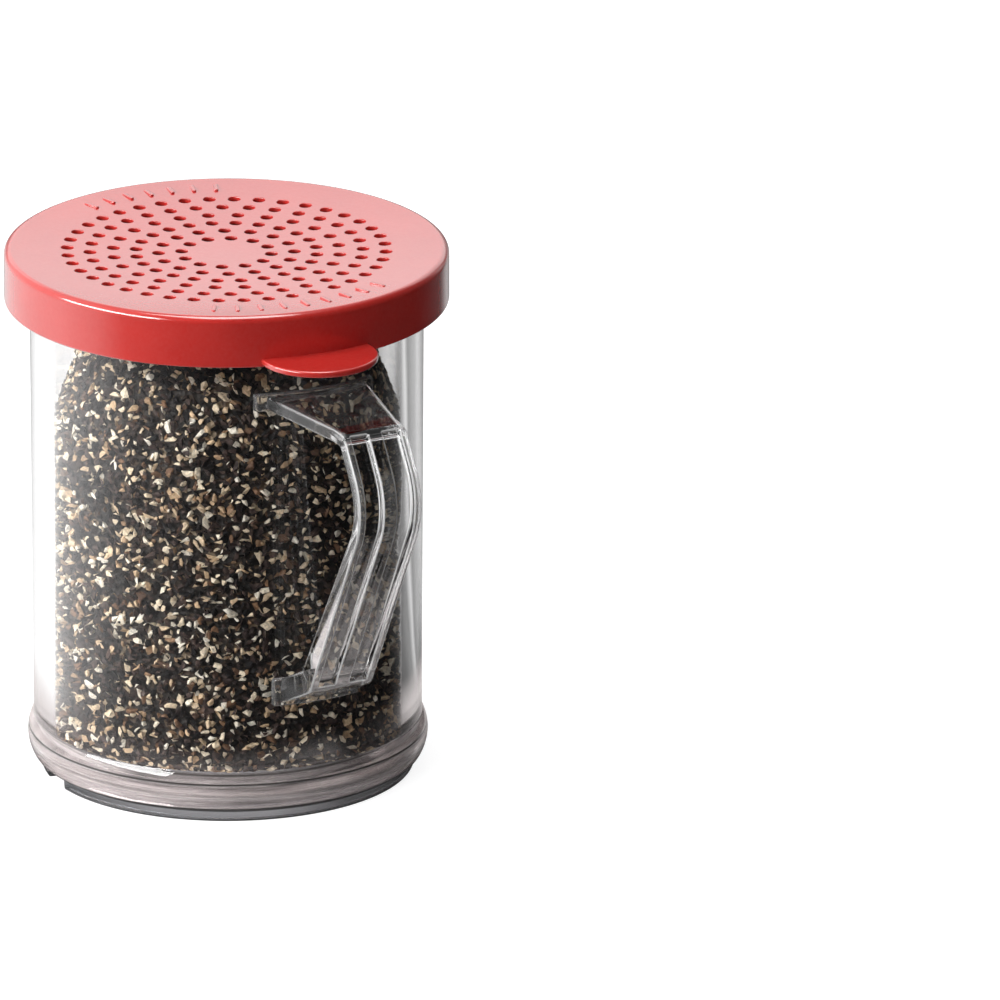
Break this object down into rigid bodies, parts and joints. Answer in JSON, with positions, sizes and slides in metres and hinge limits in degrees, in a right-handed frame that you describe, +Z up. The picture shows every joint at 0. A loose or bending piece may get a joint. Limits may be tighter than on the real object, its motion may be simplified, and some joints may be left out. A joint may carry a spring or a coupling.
{
  "type": "handled spice shaker",
  "caption": "Clear handled cup filled with coarse ground spice, closed by a red perforated push-on lid with a round pull tab.",
  "frame": {"origin": "centre of the foot ring's underside, on the cup's axis", "axes": "+Z up along the cup's axis, +X out through the handle, +Y completing the right-handed frame"},
  "size_m": [0.1074, 0.0824, 0.1007],
  "materials": {
    "clear_plastic": "clear, glossy, moulded polycarbonate",
    "rose_plastic": "semi-gloss, lightly grained on top",
    "spice": "coarse ground, black with tan flakes"
  },
  "bodies": {
    "shaker": {"cup_body": "clear_plastic", "base_plate": "clear_plastic", "handle": "clear_plastic", "ground_spice": "spice"},
    "lid": {"lid": "rose_plastic"}
  },
  "joints": [
    {"name": "lid_lift", "type": "slide", "parent": "shaker", "child": "lid", "axis": [0, 0, 1], "range_m": [0, 0.04]}
  ]
}
